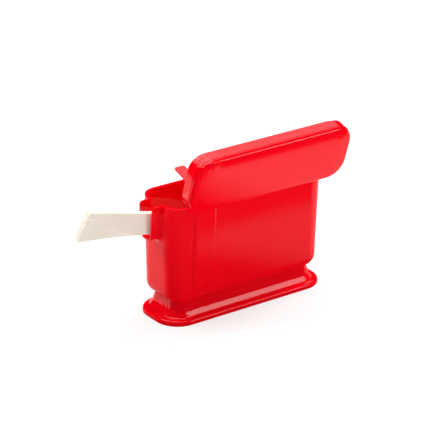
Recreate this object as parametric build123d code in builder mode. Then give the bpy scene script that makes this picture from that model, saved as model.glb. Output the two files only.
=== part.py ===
from build123d import *
import os
from math import cos, radians, sin, tan

# Table container on a flared foot, with a lid hinged along one long edge and a
# server that lies in a channel at one end. Millimetres. X runs along the body,
# the channel is at -X, the hinge is on the -Y side, and Z = 0 is the table.

# Body
body_length = 110.0  # outside, at the ledge under the lip
body_width = 38.4
body_corner = 12.3  # corner radius in plan
draft = 1.4  # degrees that each wall leans in towards the bottom
ledge_height = 69.3
lip_height = 3.8  # thin lip that stands on the ledge
lip_step = 0.4  # how far the lip stands in from the wall
lip_corner = 11.3
wall = 1.7
floor_thickness = 2.0
bottom_round = 7.2
rim_round = 0.25

# Channel for the server
channel_reach = 6.3  # how far it stands out of the end wall
channel_gap = 7.8  # clear width at the floor
channel_mouth = 11.4  # clear width at the rim, the sides lean apart
channel_wall = 1.4
channel_depth = 20.2  # from the rim down to the channel's floor
channel_round = 2.4  # inner radius at the foot of each side
channel_root = 3.4  # blend between the channel and the end wall
channel_brow = 2.0  # rounding of the channel's upper outer corners
channel_lead = 2.4  # rounding where the inside turns into the channel

# Foot
foot_reach = 2.15  # foot past the body's ends
foot_side = 0.5  # and past its long sides
foot_corner = 14.7
foot_height = 12.4
flange_thickness = 3.1
flange_round = 1.6
neck_inset = 5.0  # neck under the body's bottom edge
neck_slope = 17.0  # degrees that the neck's side widens downwards
flare_height = 6.9  # from here down it widens more
flare_slope = 31.0
flare_radius = 2.3
flare_blend = 2.5
foot_wall = 2.0
rib_thickness = 1.6
rib_count = 5  # across the foot, besides one along its middle

# Lid
lid_reach = 0.65  # lid past the body's ends
lid_shift = 1.1  # lid's centre stands this far towards +X
lid_inset = 0.9  # lid's long edges inside the body's sides
lid_corner = 12.1
lid_height = 9.1
skirt_height = 5.7  # upright side, below the rounded crown
crown_step = 0.3  # small step where the crown starts
crown_round = 2.7
border_width = 7.0  # sloping border round the lid's flat face
border_drop = 0.6
lid_wall = 1.7
lid_top = 1.8
spigot_depth = 2.4  # ring that drops inside the rim
spigot_wall = 1.2
spigot_clearance = 0.45
lid_seat = 0.3  # gap left between the closed lid and the rim
open_angle = 106.7

# Tongue under the lid
tongue_width = 6.8
tongue_reach = 14.5  # below the lid's edge
tongue_thickness = 1.1
tongue_corner = 1.2
tongue_from_end = 2.6  # lid's end to the tongue
tongue_from_hinge = 17.6  # lid's hinge edge to the tongue

# Hinge
hinge_forward = 2.48  # pin axis in front of the body's wall
hinge_rise = 0.15  # pin axis above the rim
barrel_radius = 2.1
pin_radius = 0.9
pin_fit = 0.05  # radial clearance in the lid's lugs
pin_seat = 0.02  # radial clearance in the fixed ears
lug_width = 6.3
lug_root = 3.4  # height of the lug where it joins the lid
ear_width = 5.7
ear_drop = 4.0  # ear's toe below the pin axis
ear_toe = 0.5
hinge_from_end = 15.7  # body's end to each ear's outer face
side_gap = 0.4
pin_cap = 1.0  # closed end of each lug
pad_thickness = 1.0  # right ear's pad, in front of the lip
pad_height = 2.6
pad_toe = 1.0  # right ear's toe above the ledge

# Bar on the hinge side, under the left ear
bar_from_end = 14.8  # body's end to the bar's raised face
bar_width = 12.85
bar_bottom = 21.9  # above the table
bar_top_gap = 2.4  # bar's upper end below the rim, clear of the left lug
bar_height = 1.5
bar_side_slope = 50.0  # degrees that its sides lean out to the wall
bar_corner = 4.7
bar_edge = 1.1

# Server
server_slope = 19.0  # degrees, the blade's slope and the way it slides
server_clearance = 0.45  # above the channel's floor
blade_width = 12.2
blade_thickness = 1.4
blade_inset = 0.15  # blade's edges inside the handle's edges
blade_set_back = 0.3  # blade behind the handle's front face
blade_root = 4.0  # blade's length buried in the handle
blade_end_gap = 4.8  # blade's end to the far wall
blade_nose = 5.0
handle_thickness = 4.4
handle_front = 2.75  # handle's front face, from the body's middle plane
handle_length = 55.6
handle_end_droop = 9.4  # lower edge of the handle's end below the blade's line
handle_end_rise = 8.5  # upper edge of the handle's end above the blade's line
handle_end_slant = 3.0
handle_root = 4.0  # handle starts this far out along the channel
handle_bow = 0.39  # share of the droop reached half way along
handle_tip_bulge = 0.6
handle_corner = 3.0  # rounding of the end's upper corner
handle_round = 0.5

# Worked out from the sizes above
rim_height = ledge_height + lip_height
draft_slope = tan(radians(draft))
half_length = body_length / 2
half_width = body_width / 2
lip_length = body_length - 2 * lip_step
lip_width = body_width - 2 * lip_step
inner_length = lip_length - 2 * wall
inner_width = lip_width - 2 * wall
inner_corner = lip_corner - wall
floor_height = foot_height + floor_thickness
inner_round = bottom_round - floor_thickness
channel_floor = rim_height - channel_depth
channel_end = half_length + channel_reach
channel_lean = (channel_mouth - channel_gap) / 2 / channel_depth  # of each side
channel_low = channel_floor - channel_wall
ledge_gap = channel_mouth - 2 * lip_height * channel_lean
channel_width = ledge_gap + 2 * channel_wall
channel_low_width = channel_gap + 2 * channel_wall - 2 * channel_wall * channel_lean
body_drop = ledge_height - foot_height
foot_length = body_length + 2 * foot_reach
foot_width = body_width + 2 * foot_side
neck_length = body_length - 2 * (body_drop * draft_slope + neck_inset)
neck_width = body_width - 2 * (body_drop * draft_slope + neck_inset)
neck_corner = body_corner - body_drop * draft_slope - neck_inset
neck_spread = (foot_height - flare_height) * tan(radians(neck_slope))

lid_length = body_length + 2 * lid_reach
lid_width = body_width - 2 * lid_inset
hinge_y = -half_width - hinge_forward
hinge_z = rim_height + hinge_rise
lid_floor = lid_seat - hinge_rise  # lid's lower plane, measured from the pin axis
lid_middle = -hinge_y  # lid's centre line, measured from the pin axis
hinge_edge = lid_middle - lid_width / 2
opening = radians(open_angle)
lid_frame = Plane(
    origin=(0, hinge_y, hinge_z), x_dir=(1, 0, 0), z_dir=(0, -sin(opening), cos(opening))
)
spigot_length = inner_length - 2 * spigot_clearance
spigot_width = inner_width - 2 * spigot_clearance
spigot_corner = inner_corner - spigot_clearance
hinge_span = body_length - 2 * hinge_from_end
lug_inner = hinge_span / 2 + side_gap
lug_end = hinge_edge + lid_wall / 2
pin_inner = hinge_span / 2 - ear_width + side_gap
handle_root_width = blade_width + 2 * blade_inset
pin_length = lug_inner + lug_width - pin_cap - pin_inner
wall_frame = Plane(
    origin=(0, -half_width, ledge_height),
    x_dir=(1, 0, 0),
    z_dir=(0, -cos(radians(draft)), -sin(radians(draft))),
)


def farthest_face(block, frame):
    """The flat face that lies farthest out along the frame's normal."""
    outward = Axis(frame.origin, frame.z_dir)
    return block.faces().filter_by(outward).sort_by(outward)[-1]


def ear_section(x, toe_z):
    """Side view of an ear at x, from the pin's bore down to its toe on the wall."""
    with BuildSketch(Plane.YZ.offset(x)) as section:
        with Locations((hinge_y, hinge_z)):
            Circle(barrel_radius)
        with Locations((-half_width - ear_toe, toe_z)):
            Circle(ear_toe)
        make_hull()
        with Locations((hinge_y, hinge_z)):
            Circle(pin_radius + pin_seat, mode=Mode.SUBTRACT)
    return section.sketch


# The hollow inside the body, as a solid to take away
with BuildPart() as cavity:
    with BuildSketch(Plane.XY.offset(rim_height)):
        RectangleRounded(inner_length, inner_width, inner_corner)
    extrude(amount=-(rim_height - floor_height), taper=draft)
    fillet(cavity.faces().sort_by(Axis.Z)[0].edges(), radius=inner_round)

with BuildPart() as body_shell:
    with BuildSketch(Plane.XY.offset(ledge_height)):
        RectangleRounded(body_length, body_width, body_corner)
    extrude(amount=-body_drop, taper=draft)
    fillet(body_shell.faces().sort_by(Axis.Z)[0].edges(), radius=bottom_round)
    # outside of the channel, up to the ledge
    with BuildSketch(Plane.YZ.offset(-channel_end)) as channel_outside:
        Polygon(
            (-channel_low_width / 2, channel_low),
            (channel_low_width / 2, channel_low),
            (channel_width / 2, ledge_height),
            (-channel_width / 2, ledge_height),
            align=None,
        )
        fillet(channel_outside.vertices().group_by(Axis.Y)[0], radius=channel_round + channel_wall)
    extrude(amount=channel_reach + wall + body_drop * draft_slope)
    root_edges = (
        body_shell.edges()
        .filter_by_position(Axis.X, -half_length, -half_length + wall)
        .filter_by_position(Axis.Y, -channel_width / 2 - 0.01, channel_width / 2 + 0.01)
        .filter_by_position(Axis.Z, channel_low - 0.01, ledge_height)
    )
    root_edges = root_edges.filter_by(lambda edge: edge.center().Z < ledge_height - 0.01)
    fillet(root_edges, radius=channel_root)
    # lip, which runs round the rim and out along the channel
    with BuildSketch(Plane.XY.offset(ledge_height)) as lip_plan:
        RectangleRounded(lip_length, lip_width, lip_corner)
        with Locations((-channel_end / 2, 0)):
            Rectangle(channel_end, channel_width)
        # growing and shrinking the outline rounds only its inward corners
        offset(amount=channel_root, kind=Kind.ARC)
        offset(amount=-channel_root, kind=Kind.INTERSECTION)
    extrude(amount=lip_height)
    brow_edges = body_shell.edges().filter_by_position(Axis.X, -channel_end, -channel_end)
    fillet(brow_edges.sort_by(Axis.Z)[-1], radius=channel_brow)
    add(cavity.part, mode=Mode.SUBTRACT)
    # inside of the channel
    with BuildSketch(Plane.YZ.offset(-channel_end)) as channel_inside:
        Polygon(
            (-channel_gap / 2, channel_floor),
            (channel_gap / 2, channel_floor),
            (channel_mouth / 2, rim_height),
            (-channel_mouth / 2, rim_height),
            align=None,
        )
        fillet(channel_inside.vertices().group_by(Axis.Y)[0], radius=channel_round)
    extrude(amount=channel_end - inner_length / 2 + wall, mode=Mode.SUBTRACT)
    lead_edges = (
        body_shell.edges()
        .filter_by_position(Axis.X, -inner_length / 2 - 0.1, -inner_length / 2 + 1)
        .filter_by_position(Axis.Y, -channel_mouth / 2 - 0.01, channel_mouth / 2 + 0.01)
        .filter_by_position(Axis.Z, channel_floor - 0.01, rim_height)
    )
    fillet(lead_edges, radius=channel_lead)
    fillet(body_shell.faces().sort_by(Axis.Z)[-1].edges(), radius=rim_round)

with BuildPart() as foot:
    with BuildSketch():
        RectangleRounded(foot_length, foot_width, foot_corner)
    extrude(amount=flange_thickness)
    fillet(foot.faces().sort_by(Axis.Z)[-1].edges(), radius=flange_round)
    with BuildSketch(Plane.XY.offset(foot_height)):
        RectangleRounded(neck_length, neck_width, neck_corner)
    extrude(amount=-(foot_height - flare_height), taper=-neck_slope)
    with BuildSketch(Plane.XY.offset(flare_height)):
        RectangleRounded(neck_length + 2 * neck_spread, neck_width + 2 * neck_spread, neck_corner + neck_spread)
    extrude(amount=-(flare_height - flange_thickness), taper=-flare_slope)
    fillet(foot.edges().filter_by_position(Axis.Z, flare_height - 0.01, flare_height + 0.01), radius=flare_blend)
    flange_tops = foot.faces().filter_by_position(Axis.Z, flange_thickness - 0.01, flange_thickness + 0.01)
    fillet(flange_tops[0].inner_wires()[0].edges(), radius=flare_radius)
    # pockets in the underside, with ribs between them flush with the outer edge
    pitch_along = (neck_length - 2 * foot_wall + rib_thickness) / (rib_count + 1)
    pitch_across = (neck_width - 2 * foot_wall + rib_thickness) / 2
    with BuildSketch():
        with GridLocations(pitch_along, pitch_across, rib_count + 1, 2):
            Rectangle(pitch_along - rib_thickness, pitch_across - rib_thickness)
    extrude(amount=foot_height - foot_wall, mode=Mode.SUBTRACT)

left_ear = ear_section(-hinge_span / 2, hinge_z - ear_drop)
with BuildPart() as hinge_bar:
    bar_spread = bar_height * tan(radians(bar_side_slope))
    bar_rise = (rim_height - bar_bottom) / cos(radians(draft))
    bar_x = -half_length + bar_from_end + bar_width / 2
    with BuildSketch(wall_frame) as bar_outline:
        with Locations((bar_x, lip_height - bar_rise / 2)):
            Rectangle(bar_width + 2 * bar_spread, bar_rise + 2 * bar_spread)
        fillet(bar_outline.vertices().group_by(Axis.Y)[0], radius=bar_corner + bar_spread)
    extrude(amount=bar_height, taper=bar_side_slope)
    fillet(farthest_face(hinge_bar, wall_frame).edges(), radius=bar_edge)
    # cut off level under the lug
    with Locations((bar_x, -half_width, rim_height - bar_top_gap)):
        Box(2 * bar_width, 2 * half_width, rim_height, mode=Mode.SUBTRACT,
            align=(Align.CENTER, Align.CENTER, Align.MIN))
    extrude(left_ear, amount=ear_width)

right_ear = ear_section(hinge_span / 2 - ear_width, ledge_height + pad_toe)
with BuildPart() as hinge_bracket:
    with BuildSketch(Plane.XZ.offset(half_width - lip_step)):
        with Locations((hinge_span / 2 - ear_width / 2, ledge_height + pad_height / 2)):
            Rectangle(ear_width, pad_height)
    extrude(amount=pad_thickness)
    extrude(right_ear, amount=ear_width)

with BuildPart() as hinge_pins:
    for side in (-1, 1):
        with BuildSketch(Plane.YZ.offset(side * pin_inner)):
            with Locations((hinge_y, hinge_z)):
                Circle(pin_radius)
        extrude(amount=side * pin_length)


def crown_outline(edge):
    """Picks the edges where the lid's sloping border meets its upright side."""
    height = lid_frame.to_local_coords(edge.center()).Z
    return abs(height - (lid_floor + lid_height - border_drop)) < 0.01


with BuildPart() as lid:
    # sketched on the lid's own frame, whose origin is the pin axis
    with BuildSketch(lid_frame.offset(lid_floor)):
        with Locations((lid_shift, lid_middle)):
            RectangleRounded(lid_length, lid_width, lid_corner)
    extrude(amount=skirt_height)
    with BuildSketch(lid_frame.offset(lid_floor + skirt_height)):
        with Locations((lid_shift, lid_middle)):
            RectangleRounded(lid_length - 2 * crown_step, lid_width - 2 * crown_step,
                             lid_corner - crown_step)
    extrude(amount=lid_height - skirt_height)
    lid_face = farthest_face(lid, lid_frame)
    chamfer(lid_face.edges(), length=border_width, length2=border_drop, reference=lid_face)
    outline_edges = lid.edges().filter_by(crown_outline)
    fillet(outline_edges, radius=crown_round)
    # hollow underside
    with BuildSketch(lid_frame.offset(lid_floor)):
        with Locations((lid_shift, lid_middle)):
            RectangleRounded(lid_length - 2 * lid_wall, lid_width - 2 * lid_wall,
                             lid_corner - lid_wall)
    extrude(amount=lid_height - lid_top, mode=Mode.SUBTRACT)
    # ring that drops inside the rim of the body
    with BuildSketch(lid_frame.offset(lid_floor - spigot_depth)):
        with Locations((0, lid_middle)):
            RectangleRounded(spigot_length, spigot_width, spigot_corner)
            RectangleRounded(spigot_length - 2 * spigot_wall, spigot_width - 2 * spigot_wall,
                             spigot_corner - spigot_wall, mode=Mode.SUBTRACT)
    extrude(amount=spigot_depth + lid_height - lid_top)
    # tongue, a thin tab that hangs beside the server
    tongue_x = lid_shift - lid_length / 2 + tongue_from_end + tongue_width / 2
    tongue_length = tongue_reach + lid_height - lid_top
    tongue_plane = Plane(
        origin=(tongue_x, hinge_y, hinge_z), x_dir=(1, 0, 0), z_dir=-lid_frame.y_dir
    ).offset(-hinge_edge - tongue_from_hinge)
    with BuildSketch(tongue_plane) as tongue_outline:
        with Locations((0, lid_floor - tongue_reach + tongue_length / 2)):
            Rectangle(tongue_width, tongue_length)
        fillet(tongue_outline.vertices().group_by(Axis.Y)[0], radius=tongue_corner)
    extrude(amount=-tongue_thickness)
    # a lug near each end, which turns on one hinge pin
    for side in (-1, 1):
        lug_plane = Plane(
            origin=(side * lug_inner, hinge_y, hinge_z), x_dir=lid_frame.y_dir, z_dir=(1, 0, 0)
        )
        with BuildSketch(lug_plane):
            Circle(barrel_radius)
            Polygon(
                (0, lid_floor),
                (lug_end, lid_floor),
                (lug_end, lid_floor + lug_root),
                (0, barrel_radius),
                align=None,
            )
        extrude(amount=side * lug_width)
        with BuildSketch(lug_plane):
            Circle(pin_radius + pin_fit)
        extrude(amount=side * (lug_width - pin_cap + pin_fit), mode=Mode.SUBTRACT)

with BuildPart() as server:
    slope = radians(server_slope)
    # sketched along the blade's lower edge, from the channel's inner end outwards
    server_frame = Plane(
        origin=(-inner_length / 2, 0, channel_floor + server_clearance),
        x_dir=(-cos(slope), 0, sin(slope)), z_dir=(0, 1, 0)
    )
    with BuildSketch(server_frame.offset(-handle_front)) as handle_outline:
        with BuildLine():
            lower = ThreePointArc(
                (handle_root, 0),
                (handle_length / 2, -handle_end_droop * handle_bow),
                (handle_length, -handle_end_droop),
            )
            tip = ThreePointArc(
                lower @ 1,
                (handle_length - handle_end_slant / 2 + handle_tip_bulge,
                 (handle_end_rise - handle_end_droop) / 2),
                (handle_length - handle_end_slant, handle_end_rise),
            )
            Polyline(tip @ 1, (handle_root, handle_root_width), lower @ 0)
        make_face()
        fillet(handle_outline.vertices().sort_by_distance(tip @ 1)[0], radius=handle_corner)
    extrude(amount=handle_thickness)
    handle_faces = server.faces().filter_by(Axis.Y).sort_by(Axis.Y)
    fillet(handle_faces[0].edges() + handle_faces[-1].edges(), radius=handle_round)
    # the blade starts inside the handle and reaches down into the body
    blade_start = handle_root + blade_root
    blade_length = (inner_length - blade_end_gap) / cos(slope) + blade_start
    with BuildSketch(server_frame.offset(blade_set_back - handle_front)) as blade_outline:
        with Locations((blade_start - blade_length / 2, blade_inset + blade_width / 2)):
            Rectangle(blade_length, blade_width)
        fillet(blade_outline.vertices().group_by(Axis.X)[0], radius=blade_nose)
    extrude(amount=blade_thickness)

lid.part.label = "lid"
body_shell.part.label = "body_shell"
foot.part.label = "foot"
hinge_bar.part.label = "hinge_bar"
hinge_bracket.part.label = "hinge_bracket"
hinge_pins.part.label = "hinge_pins"
server.part.label = "server"

os.makedirs("parts", exist_ok=True)
for piece in (body_shell, foot, hinge_bar, hinge_bracket, hinge_pins, lid, server):
    export_step(piece.part, f"parts/{piece.part.label}.step")
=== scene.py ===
import bmesh
import bpy
import math
from mathutils import Matrix, Vector


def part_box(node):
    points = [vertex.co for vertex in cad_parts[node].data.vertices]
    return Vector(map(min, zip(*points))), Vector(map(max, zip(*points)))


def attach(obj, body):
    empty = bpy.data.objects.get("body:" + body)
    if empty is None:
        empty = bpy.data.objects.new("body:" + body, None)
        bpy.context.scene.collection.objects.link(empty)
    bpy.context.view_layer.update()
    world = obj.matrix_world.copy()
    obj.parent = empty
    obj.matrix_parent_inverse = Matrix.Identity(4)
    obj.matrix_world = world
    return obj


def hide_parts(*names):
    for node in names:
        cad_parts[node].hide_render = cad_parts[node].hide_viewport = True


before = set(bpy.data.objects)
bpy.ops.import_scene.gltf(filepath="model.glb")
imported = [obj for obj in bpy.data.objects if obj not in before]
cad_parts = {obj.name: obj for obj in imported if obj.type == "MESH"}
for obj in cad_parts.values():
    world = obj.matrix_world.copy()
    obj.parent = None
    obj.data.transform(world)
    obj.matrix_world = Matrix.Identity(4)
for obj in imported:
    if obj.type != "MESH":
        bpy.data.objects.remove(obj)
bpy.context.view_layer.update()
print("frame loaded")


# A socket that takes part in sums, in shader and geometry trees alike.
class Wire:
    def __init__(self, tree, socket):
        self.tree = tree
        self.socket = socket

    def maths(self, operation, first, second=0.0):
        return self.tree.node("ShaderNodeMath", {"operation": operation}, {0: first, 1: second})

    def __add__(self, other):
        return self.maths("ADD", self, other)

    def __radd__(self, other):
        return self.maths("ADD", other, self)

    def __sub__(self, other):
        return self.maths("SUBTRACT", self, other)

    def __rsub__(self, other):
        return self.maths("SUBTRACT", other, self)

    def __mul__(self, other):
        return self.maths("MULTIPLY", self, other)

    def __rmul__(self, other):
        return self.maths("MULTIPLY", other, self)

    def __truediv__(self, other):
        return self.maths("DIVIDE", self, other)

    def __rtruediv__(self, other):
        return self.maths("DIVIDE", other, self)

    def called(self, operation):
        return self.maths(operation, self)


class Tree:
    def __init__(self, tree):
        self.tree = tree
        tree.nodes.clear()

    def node(self, kind, settings=None, inputs=None, output=0):
        made = self.tree.nodes.new(kind)
        for key, value in (settings or {}).items():
            if key == "stops":
                ramp = made.color_ramp
                while len(ramp.elements) < len(value):
                    ramp.elements.new(0.5)
                for element, (place, color) in zip(ramp.elements, value):
                    element.position = place
                    element.color = color
            else:
                setattr(made, key, value)
        for key, value in (inputs or {}).items():
            if isinstance(value, Wire):
                self.tree.links.new(value.socket, made.inputs[key])
            else:
                made.inputs[key].default_value = value
        return Wire(self, made.outputs[output]) if made.outputs else None


def newMaterial(name):
    material = bpy.data.materials.new(name)
    material.use_nodes = True
    return material, Tree(material.node_tree)


def noiseAt(tree, place, scale, detail, roughness=0.5):
    return tree.node("ShaderNodeTexNoise", None, {
        "Vector": place, "Scale": scale, "Detail": detail, "Roughness": roughness}, "Fac")


redPlastic = {
    "deepColor": (0.83, 0.0003, 0.0060, 1),
    "freshColor": (0.88, 0.0006, 0.0085, 1),
    "glossy": (0.055, 0.5),  # roughness and specular level of lid and foot
    "satin": (0.085, 0.30),  # of the body walls
    "roughnessSpread": 0.035,
    "cloudScale": 38.0,
    "sinkScale": 55.0,  # broad moulding waves, per metre
    "sinkDepth": 0.00006,
    "peelScale": 620.0,
    "peelDepth": 0.000004,
    "scuffScale": 260.0,
    "scuffRange": (0.52, 0.72),
    "scuffRoughness": 0.05,
    "rippleScale": 420.0,  # where the moulding drew in at a corner
    "rippleDepth": 0.0006,
    "rippleCore": 0.3,  # share of the reach over which it is at its full depth
    # middle and reach of each such place
    "ripples": [((-0.0465, -0.0390, 0.1085), 0.010), ((-0.0500, -0.0110, 0.0050), 0.014)],
}


def makeRed(name, plan, finish):
    material, mix = newMaterial(name)
    roughness, specular = plan[finish]
    place = mix.node("ShaderNodeTexCoord", output="Object")
    cloud = noiseAt(mix, place, plan["cloudScale"], 3.0)
    sink = noiseAt(mix, place, plan["sinkScale"], 1.0)
    peel = noiseAt(mix, place, plan["peelScale"], 2.0)
    scuff = noiseAt(mix, place, plan["scuffScale"], 5.0, 0.7)
    clean, full = plan["scuffRange"]
    worn = mix.node("ShaderNodeValToRGB", {"stops": [(clean, (0, 0, 0, 1)), (full, (1, 1, 1, 1))]},
                    {"Fac": scuff})
    color = mix.node("ShaderNodeMix", {"data_type": "RGBA"},
                     {"Factor": cloud, 6: plan["deepColor"], 7: plan["freshColor"]}, 2)
    wave = mix.node("ShaderNodeBump", None, {"Height": sink, "Strength": 1.0, "Distance": plan["sinkDepth"]})
    skin = mix.node("ShaderNodeBump", None, {"Height": peel, "Strength": 1.0, "Distance": plan["peelDepth"],
                                             "Normal": wave})
    ripple = noiseAt(mix, place, plan["rippleScale"], 1.0)
    drawn = 0.0
    for middle, reach in plan["ripples"]:
        away = mix.node("ShaderNodeVectorMath", {"operation": "DISTANCE"}, {0: place, 1: middle}, 1)
        drawn = drawn + mix.node("ShaderNodeMapRange", {"interpolation_type": "SMOOTHSTEP"},
                                 {"Value": away, "From Min": reach, "From Max": reach * plan["rippleCore"]})
    skin = mix.node("ShaderNodeBump", None, {"Height": ripple * drawn, "Strength": 1.0,
                                             "Distance": plan["rippleDepth"], "Normal": skin})
    shader = mix.node("ShaderNodeBsdfPrincipled", None, {
        "Base Color": color,
        "Roughness": roughness + cloud * plan["roughnessSpread"] + worn * plan["scuffRoughness"],
        "Specular IOR Level": specular,
        "Normal": skin,
    })
    mix.node("ShaderNodeOutputMaterial", None, {"Surface": shader})
    return material


creamPlastic = {
    "shadeColor": (0.76, 0.68, 0.585, 1),
    "lightColor": (0.83, 0.76, 0.665, 1),
    "roughness": 0.26,
    "roughnessSpread": 0.12,
    "specular": 0.35,
    "cloudScale": 60.0,
    "sinkScale": 90.0,
    "sinkDepth": 0.00006,
    "flowAndHighlightLength": (0.090, 1.0, 0.0048),  # lines that run along the blade: glossier moulding streaks, lightened in colour as painted highlights
    "bladeSlope": 19.0,  # degrees
    "lineWidth": 0.016,
    # painted highlight: the colour the lines are lightened towards
    "paintedHighlightColor": (0.97, 0.94, 0.88, 1),
    "paintedHighlightShare": 0.6,
    "linePolish": 0.08,
}


def makeCream(plan):
    material, mix = newMaterial("creamPlastic")
    place = mix.node("ShaderNodeTexCoord", output="Object")
    cloud = noiseAt(mix, place, plan["cloudScale"], 3.0)
    sink = noiseAt(mix, place, plan["sinkScale"], 1.0)
    drawn = mix.node("ShaderNodeMapping", {"vector_type": "TEXTURE"}, {
        "Vector": place, "Rotation": (0, math.radians(plan["bladeSlope"]), 0), "Scale": plan["flowAndHighlightLength"]})
    flowAndHighlight = noiseAt(mix, drawn, 1.0, 2.0)
    lines = mix.node("ShaderNodeMapRange", None, {"Value": (flowAndHighlight - 0.5).called("ABSOLUTE"),
                                                  "From Min": plan["lineWidth"], "From Max": 0.0})
    cream = mix.node("ShaderNodeMix", {"data_type": "RGBA"},
                     {"Factor": cloud, 6: plan["shadeColor"], 7: plan["lightColor"]}, 2)
    # The lines are lightened as a painted highlight.
    color = mix.node("ShaderNodeMix", {"data_type": "RGBA"},
                     {"Factor": lines * plan["paintedHighlightShare"], 6: cream, 7: plan["paintedHighlightColor"]}, 2)
    skin = mix.node("ShaderNodeBump", None, {"Height": sink, "Strength": 1.0, "Distance": plan["sinkDepth"]})
    shader = mix.node("ShaderNodeBsdfPrincipled", None, {
        "Base Color": color,
        "Roughness": plan["roughness"] + cloud * plan["roughnessSpread"] - lines * plan["linePolish"],
        "Specular IOR Level": plan["specular"],
        "Normal": skin,
    })
    mix.node("ShaderNodeOutputMaterial", None, {"Surface": shader})
    return material


pinSteel = {
    "color": (0.60, 0.60, 0.61, 1),
    "roughness": 0.22,
    "roughnessSpread": 0.2,
    "drawnScale": (60.0, 1500.0, 1500.0),  # lines left from drawing the wire
}


def makeSteel(plan):
    material, mix = newMaterial("pinSteel")
    place = mix.node("ShaderNodeTexCoord", output="Object")
    stretched = mix.node("ShaderNodeMapping", None, {"Vector": place, "Scale": plan["drawnScale"]})
    drawn = noiseAt(mix, stretched, 1.0, 3.0)
    shader = mix.node("ShaderNodeBsdfPrincipled", None, {
        "Base Color": plan["color"], "Metallic": 1.0,
        "Roughness": plan["roughness"] + drawn * plan["roughnessSpread"],
    })
    mix.node("ShaderNodeOutputMaterial", None, {"Surface": shader})
    return material


red = makeRed("redPlastic", redPlastic, "glossy")
satinRed = makeRed("redSatin", redPlastic, "satin")
cream = makeCream(creamPlastic)
steel = makeSteel(pinSteel)
print("materials made")


def addPiece(name, mesh, material, body, node):
    mesh.materials.clear()
    mesh.materials.append(material)
    piece = bpy.data.objects.new(name, mesh)
    bpy.context.collection.objects.link(piece)
    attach(piece, body)
    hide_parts(node)
    return piece


# A node's triangles joined into one skin, with normals weighted towards the flat faces.
def smoothSkin(node, name, material, body, sharpest=42):
    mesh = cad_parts[node].data.copy()
    mesh.name = name
    work = bmesh.new()
    work.from_mesh(mesh)
    bmesh.ops.remove_doubles(work, verts=work.verts, dist=2e-6)
    work.to_mesh(mesh)
    work.free()
    for key in ("custom_normal", "sharp_edge", "sharp_face"):
        if key in mesh.attributes:
            mesh.attributes.remove(mesh.attributes[key])
    mesh.shade_smooth()
    mesh.set_sharp_from_angle(angle=math.radians(sharpest))
    piece = addPiece(name, mesh, material, body, node)
    weights = piece.modifiers.new("weights", "WEIGHTED_NORMAL")
    weights.keep_sharp = True
    return piece


# A new geometry tree with named inputs for its sizes.
def newRule(name, sizes):
    group = bpy.data.node_groups.new(name, "GeometryNodeTree")
    group.interface.new_socket("Geometry", in_out="INPUT", socket_type="NodeSocketGeometry")
    group.interface.new_socket("Geometry", in_out="OUTPUT", socket_type="NodeSocketGeometry")
    for title, value in sizes.items():
        kind = "NodeSocketInt" if isinstance(value, int) else "NodeSocketFloat"
        group.interface.new_socket(title, in_out="INPUT", socket_type=kind).default_value = value
    group.interface.new_socket("Material", in_out="INPUT", socket_type="NodeSocketMaterial")
    rule = Tree(group)
    source = group.nodes.new("NodeGroupInput")
    return rule, {socket.name: Wire(rule, socket) for socket in source.outputs if socket.name}


def endRule(rule, given, shape):
    plain = rule.node("GeometryNodeRealizeInstances", None, {"Geometry": shape})
    painted = rule.node("GeometryNodeSetMaterial", None, {"Geometry": plain, "Material": given["Material"]})
    rule.node("NodeGroupOutput", None, {"Geometry": painted})
    return rule.tree


# Runs a seed mesh through a rule and keeps the plain result.
def grow(name, seed, group, values):
    holder = bpy.data.objects.new(name, seed)
    bpy.context.collection.objects.link(holder)
    rule = holder.modifiers.new("rule", "NODES")
    rule.node_group = group
    for item in group.interface.items_tree:
        if item.in_out == "INPUT" and item.name in values:
            rule[item.identifier] = values[item.name]
    mesh = bpy.data.meshes.new_from_object(holder.evaluated_get(bpy.context.evaluated_depsgraph_get()))
    mesh.name = name
    bpy.data.objects.remove(holder)
    return mesh


def seedPoints(points):
    mesh = bpy.data.meshes.new("seed")
    mesh.from_pydata(points, [], [])
    return mesh


# Joins the seam, closes the open ends and turns every face outwards.
def closeMesh(mesh, sharpest=42):
    work = bmesh.new()
    work.from_mesh(mesh)
    bmesh.ops.remove_doubles(work, verts=work.verts, dist=1e-6)
    bmesh.ops.holes_fill(work, edges=[edge for edge in work.edges if edge.is_boundary], sides=0)
    bmesh.ops.recalc_face_normals(work, faces=work.faces)
    work.to_mesh(mesh)
    work.free()
    mesh.shade_smooth()
    mesh.set_sharp_from_angle(angle=math.radians(sharpest))
    return mesh


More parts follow.
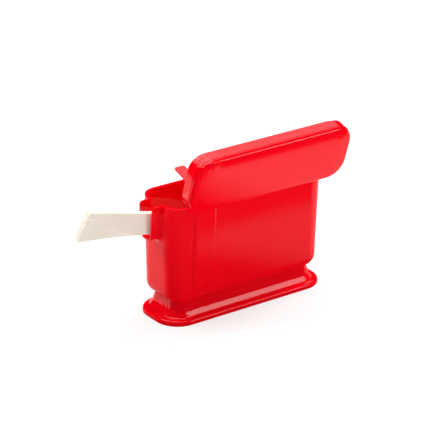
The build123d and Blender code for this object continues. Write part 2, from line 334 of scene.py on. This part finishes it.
# Rings of a rounded rectangle stacked along Z. Each seed point holds how far its ring
# grows outwards, its share of the outer outline, and its height.
def outlineStack():
    rule, given = newRule("outlineStack", {
        "Inner Length": 0.1, "Inner Width": 0.03, "Inner Corner": 0.006,
        "Outer Length": 0.11, "Outer Width": 0.04, "Outer Corner": 0.015, "Corner Steps": 10,
    })
    rings = rule.node("GeometryNodeAttributeDomainSize", None, {"Geometry": given["Geometry"]})
    stride = given["Corner Steps"] + 1
    across = stride * 4 + 1
    grid = rule.node("GeometryNodeMeshGrid", None, {"Vertices X": rings, "Vertices Y": across})
    index = rule.node("GeometryNodeInputIndex")
    ring = ((index + 0.5) / across).called("FLOOR")
    step = index - ring * across
    side = ((step + 0.5) / stride).called("FLOOR")
    turn = (side + (step - side * stride) / given["Corner Steps"]) * (math.pi / 2)
    facing = (side + 0.5) * (math.pi / 2)
    place = rule.node("GeometryNodeInputPosition")
    point = rule.node("GeometryNodeSampleIndex", {"data_type": "FLOAT_VECTOR"},
                      {"Geometry": given["Geometry"], "Value": place, "Index": ring})
    parts = rule.tree.nodes.new("ShaderNodeSeparateXYZ")
    rule.tree.links.new(point.socket, parts.inputs[0])
    spread, share, height = (Wire(rule, socket) for socket in parts.outputs)

    def ringSize(inner, outer, halved):
        return (given[inner] + (given[outer] - given[inner]) * share) * halved + spread

    corner = ringSize("Inner Corner", "Outer Corner", 1.0)
    reach = ringSize("Inner Length", "Outer Length", 0.5) - corner
    depth = ringSize("Inner Width", "Outer Width", 0.5) - corner
    x = facing.called("COSINE").called("SIGN") * reach + corner * turn.called("COSINE")
    y = facing.called("SINE").called("SIGN") * depth + corner * turn.called("SINE")
    spot = rule.node("ShaderNodeCombineXYZ", None, {"X": x, "Y": y, "Z": height})
    shape = rule.node("GeometryNodeSetPosition", None, {"Geometry": grid, "Position": spot})
    return endRule(rule, given, shape)


# Ribs at an even pitch, with one more along the middle of them.
def ribRow():
    rule, given = newRule("ribRow", {
        "Count": 5, "Pitch": 0.016, "Thickness": 0.0016, "Across": 0.02, "Along": 0.09, "Height": 0.01,
    })
    first = rule.node("ShaderNodeCombineXYZ", None, {
        "X": given["Pitch"] * (given["Count"] - 1) * -0.5, "Z": given["Height"] * 0.5})
    pitch = rule.node("ShaderNodeCombineXYZ", None, {"X": given["Pitch"]})
    row = rule.node("GeometryNodeMeshLine", None, {
        "Count": given["Count"], "Start Location": first, "Offset": pitch})
    crossSize = rule.node("ShaderNodeCombineXYZ", None, {
        "X": given["Thickness"], "Y": given["Across"], "Z": given["Height"]})
    cross = rule.node("GeometryNodeMeshCube", None, {"Size": crossSize})
    crosses = rule.node("GeometryNodeInstanceOnPoints", None, {"Points": row, "Instance": cross})
    longSize = rule.node("ShaderNodeCombineXYZ", None, {
        "X": given["Along"], "Y": given["Thickness"], "Z": given["Height"]})
    spine = rule.node("GeometryNodeMeshCube", None, {"Size": longSize})
    middle = rule.node("ShaderNodeCombineXYZ", None, {"Z": given["Height"] * 0.5})
    spine = rule.node("GeometryNodeSetPosition", None, {"Geometry": spine, "Offset": middle})
    join = rule.tree.nodes.new("GeometryNodeJoinGeometry")
    rule.tree.links.new(crosses.socket, join.inputs[0])
    rule.tree.links.new(spine.socket, join.inputs[0])
    return endRule(rule, given, Wire(rule, join.outputs[0]))


# The same shape at every point of a row.
def pairOf():
    rule, given = newRule("pairOf", {"Count": 2, "Spacing": 0.08, "Depth": 0.0, "Height": 0.0})
    first = rule.node("ShaderNodeCombineXYZ", None, {
        "X": given["Spacing"] * (given["Count"] - 1) * -0.5, "Y": given["Depth"], "Z": given["Height"]})
    step = rule.node("ShaderNodeCombineXYZ", None, {"X": given["Spacing"]})
    row = rule.node("GeometryNodeMeshLine", None, {
        "Count": given["Count"], "Start Location": first, "Offset": step})
    shape = rule.node("GeometryNodeInstanceOnPoints", None, {"Points": row, "Instance": given["Geometry"]})
    return endRule(rule, given, shape)


stackRule = outlineStack()

footPlan = {
    "neckLength": 0.09722, "neckWidth": 0.02562, "neckCorner": 0.00591,
    "edgeCorner": 0.0147,
    "flangeHeight": 0.0031, "flangeRound": 0.0016, "lowerRound": 0.00025,
    "neckSlope": 17.0,  # degrees that it widens downwards
    "flareTop": 0.0069, "flareSlope": 31.0, "flareRound": 0.0023, "flareBlend": 0.0060,
    "wall": 0.0020, "ceiling": 0.0104,
    "ribCount": 5, "ribThickness": 0.0016,
    "cornerSteps": 14, "arcSteps": 8, "lowerSteps": 3, "blendSteps": 4,
}


def arcPoints(middle, radius, start, end, steps):
    angles = [math.radians(start + (end - start) * i / steps) for i in range(steps + 1)]
    return [(middle[0] + radius * math.cos(a), middle[1] + radius * math.sin(a)) for a in angles]


def makeFoot(plan):
    low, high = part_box("foot")
    top = high[2]
    neck, slope = math.radians(plan["neckSlope"]), math.radians(plan["flareSlope"])
    flare, blend = plan["flareRound"], plan["flareBlend"]
    bend = (top - plan["flareTop"]) * math.tan(neck)  # growth where the two slopes meet
    foot = bend + (plan["flareTop"] - plan["flangeHeight"]) * math.tan(slope)
    foot += flare * math.tan((math.pi / 2 - slope) / 2)
    reach = blend * math.tan((slope - neck) / 2)
    turn = (bend - reach * math.sin(neck) + blend * math.cos(neck),
            plan["flareTop"] + reach * math.cos(neck) + blend * math.sin(neck))
    steps = plan["arcSteps"]
    points = [(-plan["wall"], 0, plan["ceiling"]), (-plan["wall"], 0, 0)]
    small = plan["lowerRound"]
    points += [(x, 1, z) for x, z in arcPoints((-small, small), small, -90, 0, plan["lowerSteps"])]
    edge = plan["flangeRound"]
    points += [(x, 1, z) for x, z in arcPoints((-edge, plan["flangeHeight"] - edge), edge, 0, 90, steps)]
    lower = arcPoints((foot, plan["flangeHeight"] + flare), flare, 270, 180 + plan["flareSlope"], steps)
    upper = arcPoints(turn, blend, 180 + plan["flareSlope"], 180 + plan["neckSlope"], plan["blendSteps"])
    points += [(x, 0, z) for x, z in lower + upper]
    points.append((0, 0, top))
    mesh = grow("footBase", seedPoints(points), stackRule, {
        "Inner Length": plan["neckLength"], "Inner Width": plan["neckWidth"],
        "Inner Corner": plan["neckCorner"],
        "Outer Length": high[0] - low[0], "Outer Width": high[1] - low[1],
        "Outer Corner": plan["edgeCorner"],
        "Corner Steps": plan["cornerSteps"], "Material": red,
    })
    base = addPiece("footBase", closeMesh(mesh), red, "root", "foot")
    base.modifiers.new("weights", "WEIGHTED_NORMAL").keep_sharp = True
    along = plan["neckLength"] - 2 * plan["wall"]
    across = plan["neckWidth"] - 2 * plan["wall"]
    ribs = grow("footRibs", seedPoints([(0, 0, 0)]), ribRow(), {
        "Count": plan["ribCount"], "Pitch": (along + plan["ribThickness"]) / (plan["ribCount"] + 1),
        "Thickness": plan["ribThickness"], "Across": across, "Along": along,
        "Height": plan["ceiling"], "Material": red,
    })
    addPiece("footRibs", ribs, red, "root", "foot")


pinPlan = {"radius": 0.0009, "length": 0.011, "chamfer": 0.00015, "cornerSteps": 8}


def makePins(plan):
    low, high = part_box("hinge_pins")
    half = plan["length"] / 2
    chamfer = plan["chamfer"]
    points = [(-chamfer, 0, -half), (0, 0, chamfer - half), (0, 0, half - chamfer), (-chamfer, 0, half)]
    size = 2 * plan["radius"]
    pin = grow("pin", seedPoints(points), stackRule, {
        "Inner Length": size, "Inner Width": size, "Inner Corner": plan["radius"],
        "Corner Steps": plan["cornerSteps"], "Material": steel,
    })
    closeMesh(pin, 30)
    pin.transform(Matrix.Rotation(math.pi / 2, 4, "Y"))
    pins = grow("hingePins", pin, pairOf(), {
        "Spacing": high[0] - low[0] - plan["length"], "Depth": (low[1] + high[1]) / 2,
        "Height": (low[2] + high[2]) / 2, "Material": steel,
    })
    addPiece("hingePins", pins, steel, "root", "hinge_pins")


makeFoot(footPlan)
makePins(pinPlan)
print("foot and pins made")

smoothSkin("body_shell", "bodyShell", satinRed, "root")
smoothSkin("hinge_bar", "hingeBar", satinRed, "root")
smoothSkin("hinge_bracket", "hingeBracket", red, "root")
smoothSkin("lid", "lidShell", red, "lid")
smoothSkin("server", "serverBlade", cream, "server")
print("pieces made")

cameraPlan = {
    "target": (-0.01261, 0.0, 0.05473),
    "distance": 1.31960,
    "azimuth": 36.339,  # degrees round from straight in front, towards the channel
    "elevation": 23.575,
    "roll": 0.72,
    "lens": 190.3,
}


def setCamera(plan):
    turn = math.radians(plan["azimuth"])
    rise = math.radians(plan["elevation"])
    ahead = Vector((math.sin(turn) * math.cos(rise), math.cos(turn) * math.cos(rise), -math.sin(rise)))
    level = Vector((math.cos(turn), -math.sin(turn), 0))
    upright = level.cross(ahead)
    roll = math.radians(plan["roll"])
    right = level * math.cos(roll) + upright * math.sin(roll)
    up = upright * math.cos(roll) - level * math.sin(roll)
    camera = bpy.data.objects.new("camera", bpy.data.cameras.new("camera"))
    bpy.context.collection.objects.link(camera)
    camera.data.lens = plan["lens"]
    camera.data.sensor_width = 36
    camera.data.clip_end = 50
    turned = Matrix((right, up, -ahead)).transposed().to_4x4()
    camera.matrix_world = Matrix.Translation(Vector(plan["target"]) - ahead * plan["distance"]) @ turned
    bpy.context.scene.camera = camera


studio = {
    "worldGlow": 0.17,  # soft light from all round, which gloss doesn't show
    "floorSize": 6.0,
    "floorColor": (0.85, 0.85, 0.85, 1),
    "floorGlow": 0.62,  # share of its own white that the lens sees, the rest being its shade
    "floorGives": 0.5,  # share of the fill below that reaches the piece
    "floorFill": 1.5,  # painted bounce light, a glow that the floor gives back to the piece
    "fillFrom": (0.05, 0.12),  # little glow nearer the piece than this, all beyond that: painted shade where the piece's shadow falls
    "paintedShadeShare": 0.2,
    "paintedSheetTones": (0.62, 0.95),  # glow of the sheet at the right and behind, a painted reflection as gloss shows it; darker elsewhere as painted shadow
    # edges of the painted shadow at the front left and of the darker floor in front
    # name: direction across the floor, faded out at, full at, in metres
    "paintedShadowEdges": {
        "right": ((0.786, -0.618), 0.050, 0.100),
        "backLeft": ((0.73, 0.69), -0.125, 0.010),
        "middle": ((0.0, 1.0), -0.010, 0.030),
        "front": ((0.0, 1.0), -0.120, -0.096),
    },
    "lampAim": (0, 0, 0.05),
    # name: place, size in metres, power, whether gloss shows it
    "lamps": {
        "topBox": ((0.0, 0.10, 1.70), (1.8, 1.8), 28.0, True),
        "frontBox": ((1.06, -1.26, 0.95), (0.55, 0.55), 3.4, True),
        "rightBox": ((0.96, 0.60, 1.18), (0.6, 0.6), 1.4, True),
        "backBox": ((-0.76, 0.76, 1.24), (0.7, 0.7), 3.1, True),
        "backFill": ((-0.76, 0.76, 1.24), (0.7, 0.7), 11.0, False),
        "leftFill": ((-1.50, -0.10, 0.40), (0.8, 0.8), 2.6, False),
        "rightFill": ((1.50, 0.20, 0.60), (0.8, 0.8), 36.5, False),
        "lowFill": ((0.50, -1.10, 0.05), (0.6, 0.08), 3.3, False),
    },
}


def lampAt(name, place, aim, size, power, inGloss):
    light = bpy.data.lights.new(name, "AREA")
    light.shape = "RECTANGLE"
    light.size, light.size_y = size
    light.energy = power
    lamp = bpy.data.objects.new(name, light)
    bpy.context.collection.objects.link(lamp)
    lamp.location = place
    lamp.rotation_euler = (Vector(aim) - Vector(place)).to_track_quat("-Z", "Y").to_euler()
    lamp.visible_glossy = inGloss


# Which rays come from the lens, which from gloss, and the rest.
def rayKinds(tree):
    rays = tree.tree.nodes.new("ShaderNodeLightPath")
    lens = Wire(tree, rays.outputs["Is Camera Ray"])
    gloss = Wire(tree, rays.outputs["Is Glossy Ray"]) + Wire(tree, rays.outputs["Is Transmission Ray"])
    return lens, gloss, 1 - lens - gloss


# A painted reflection for gloss: the sheet under the piece glows bright behind it and at its right, with
# painted shadow in front and at the front left, where the piece's shadow falls.
def paintedShadowSheet(paint, plan):
    place = paint.node("ShaderNodeTexCoord", output="Object")
    fades = {}
    for name, (direction, start, end) in plan["paintedShadowEdges"].items():
        along = paint.node("ShaderNodeVectorMath", {"operation": "DOT_PRODUCT"},
                           {0: place, 1: (*direction, 0)}, 1)
        fades[name] = paint.node("ShaderNodeMapRange", {"interpolation_type": "SMOOTHSTEP"},
                                 {"Value": along, "From Min": start, "From Max": end})
    behind = fades["backLeft"] * fades["middle"]
    toneRight, toneBehind = plan["paintedSheetTones"]
    return (fades["right"] * toneRight + (1 - fades["right"]) * behind * toneBehind) * fades["front"]


# The floor's painted bounce light, with painted shade close to the piece, where its shadow falls, so that it
# gives less back there.
def paintedBounceGlow(paint, plan):
    place = paint.node("ShaderNodeTexCoord", output="Object")
    flat = paint.node("ShaderNodeVectorMath", {"operation": "MULTIPLY"}, {0: place, 1: (0.5, 1, 0)})
    away = paint.node("ShaderNodeVectorMath", {"operation": "LENGTH"}, {0: flat}, 1)
    near, far = plan["fillFrom"]
    share = paint.node("ShaderNodeMapRange", {"interpolation_type": "SMOOTHSTEP"},
                       {"Value": away, "From Min": near, "From Max": far, "To Min": plan["paintedShadeShare"]})
    return share * plan["floorFill"]


def setStudio(plan):
    for name, (place, size, power, inGloss) in plan["lamps"].items():
        lampAt(name, place, plan["lampAim"], size, power, inGloss)
    world = bpy.data.worlds.new("studio")
    bpy.context.scene.world = world
    world.use_nodes = True
    sky = Tree(world.node_tree)
    lens, _, rest = rayKinds(sky)
    glow = sky.node("ShaderNodeBackground", None, {
        "Color": (1, 1, 1, 1), "Strength": lens + rest * plan["worldGlow"]})
    sky.node("ShaderNodeOutputWorld", None, {"Surface": glow})
    half = plan["floorSize"] / 2
    mesh = bpy.data.meshes.new("floor")
    corners = [(-half, -half, 0), (half, -half, 0), (half, half, 0), (-half, half, 0)]
    mesh.from_pydata(corners, [], [(0, 1, 2, 3)])
    floor = bpy.data.objects.new("floor", mesh)
    bpy.context.collection.objects.link(floor)
    material, paint = newMaterial("floorWhite")
    lens, gloss, rest = rayKinds(paint)
    matt = paint.node("ShaderNodeBsdfDiffuse", None, {"Color": plan["floorColor"]})
    # Gloss sees the floor glow with the sheet's painted reflection and painted shadow.
    lit = paint.node("ShaderNodeEmission", None, {
        "Color": (1, 1, 1, 1),
        "Strength": lens + gloss * paintedShadowSheet(paint, plan) + rest * paintedBounceGlow(paint, plan)})
    share = lens * plan["floorGlow"] + gloss + rest * plan["floorGives"]
    cover = paint.node("ShaderNodeMixShader", None, {0: share, 1: matt, 2: lit})
    paint.node("ShaderNodeOutputMaterial", None, {"Surface": cover})
    mesh.materials.append(material)


setCamera(cameraPlan)
setStudio(studio)
bpy.context.scene.view_settings.view_transform = "Standard"
print("camera and light set")
